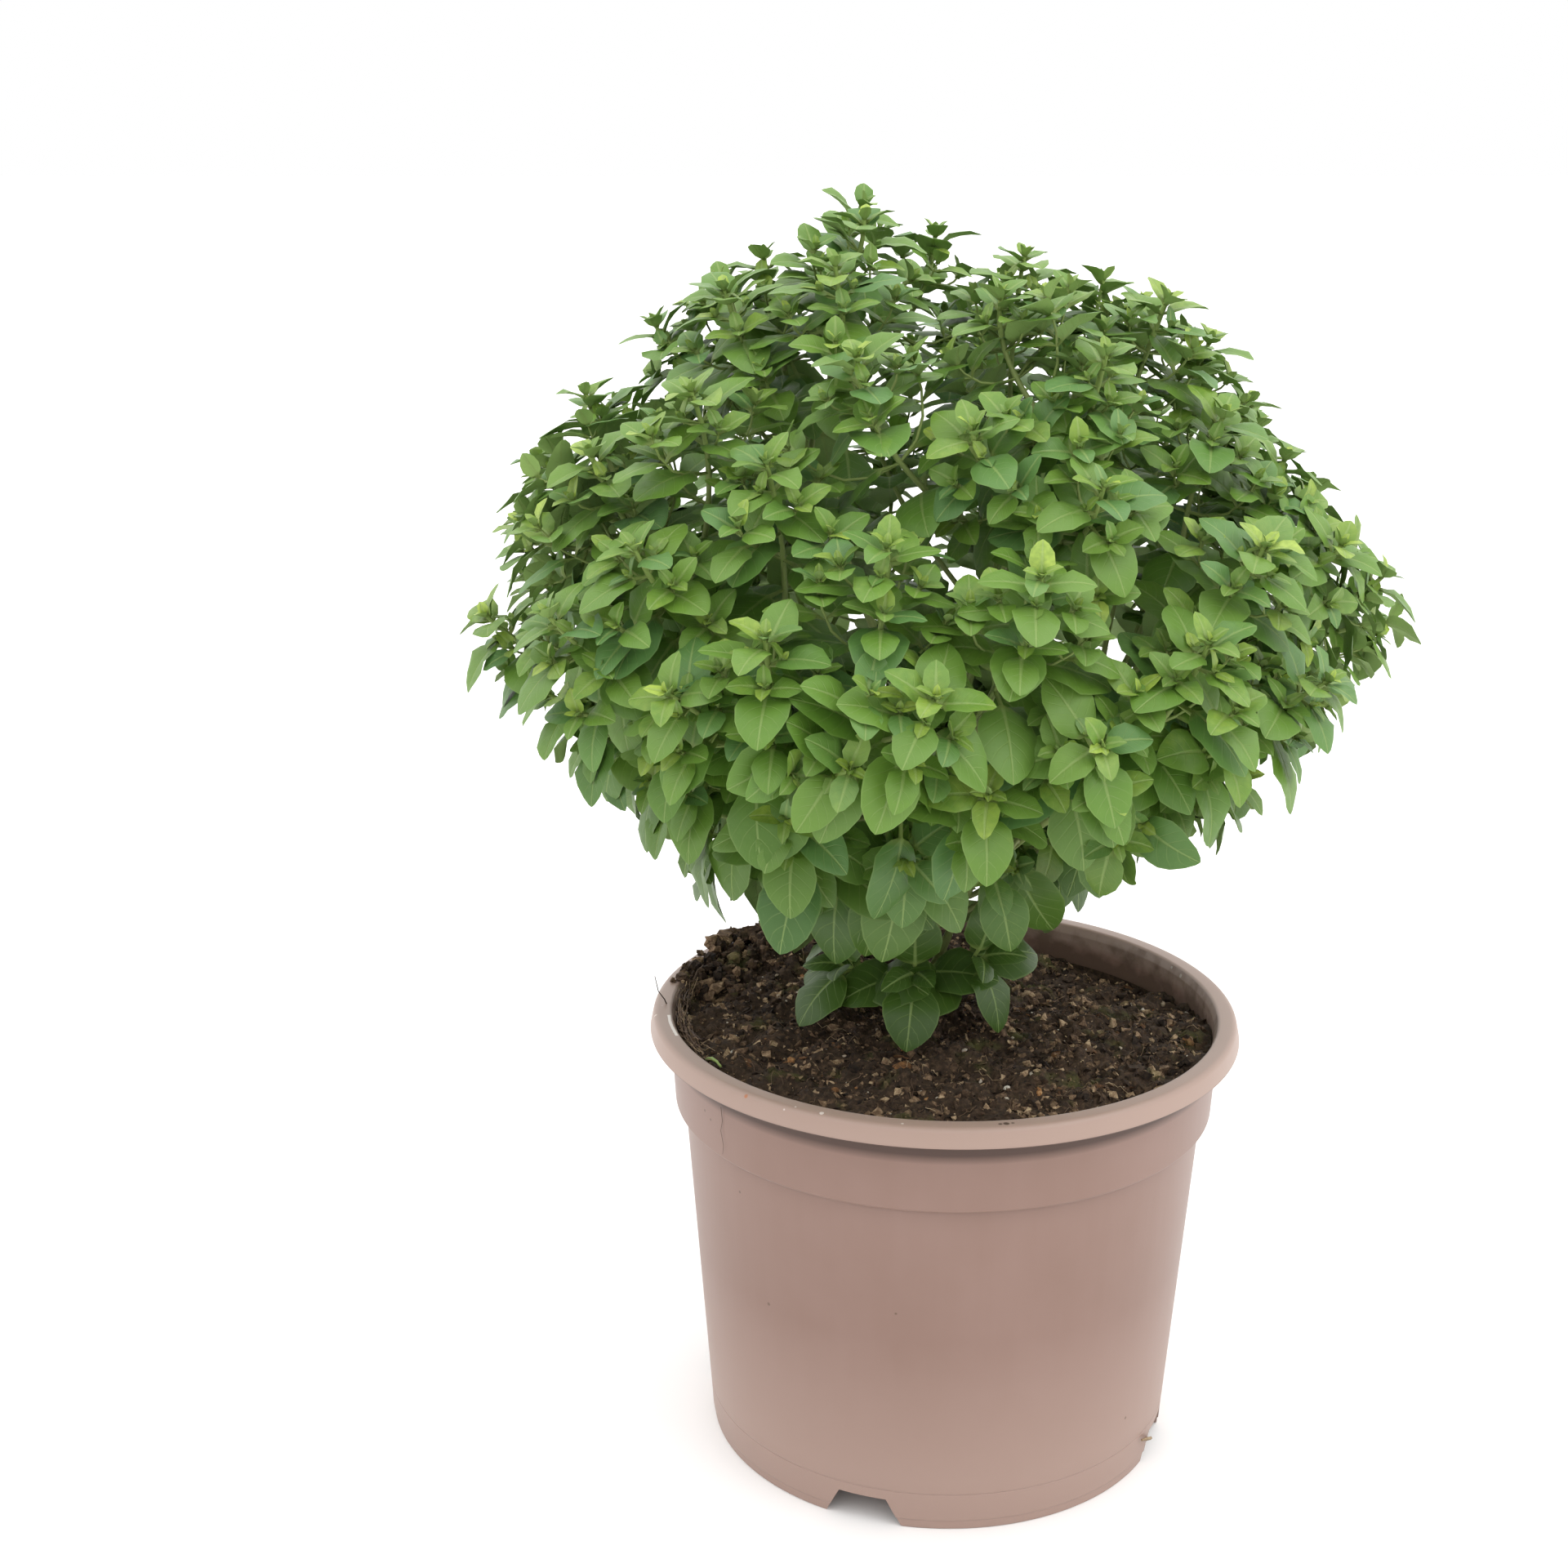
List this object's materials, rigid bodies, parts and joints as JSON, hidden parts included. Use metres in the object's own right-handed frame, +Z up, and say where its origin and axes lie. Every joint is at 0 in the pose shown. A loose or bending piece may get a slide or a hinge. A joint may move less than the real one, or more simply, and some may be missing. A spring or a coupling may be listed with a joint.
{
  "type": "potted basil plant",
  "caption": "Small-leaved bush basil with a round crown on one short trunk, growing in a tapered plastic nursery pot of dark soil.",
  "frame": {"origin": "on the floor under the middle of the crown, on the axis of the pot", "axes": "+Z up along the axis of the pot; +X to the right and +Y away from the viewer in the picture"},
  "size_m": [0.2261, 0.2198, 0.2948],
  "materials": {
    "pot_plastic": "satin moulded polypropylene, rosy taupe",
    "potting_soil": "moist dark peat with bark crumbs and white perlite, rough and dull",
    "green_stem": "pale green young stem, slightly downy",
    "basil_leaf": "fresh green leaves with pale midribs, softly glossy on top, dull below"
  },
  "bodies": {
    "root": {"pot": "pot_plastic", "soil": "potting_soil", "trunk": "green_stem", "leafy_stem_1": "basil_leaf", "leafy_stem_2": "basil_leaf", "leafy_stem_3": "basil_leaf", "leafy_stem_4": "basil_leaf", "leafy_stem_5": "basil_leaf", "leafy_stem_6": "basil_leaf", "leafy_stem_7": "basil_leaf", "leafy_stem_8": "basil_leaf", "leafy_stem_9": "basil_leaf", "leafy_stem_10": "basil_leaf", "leafy_stem_11": "basil_leaf", "leafy_stem_12": "basil_leaf", "leafy_stem_13": "basil_leaf", "low_shoot_1": "basil_leaf", "low_shoot_2": "basil_leaf", "low_shoot_3": "basil_leaf", "low_shoot_4": "basil_leaf", "low_shoot_5": "basil_leaf"}
  },
  "joints": []
}
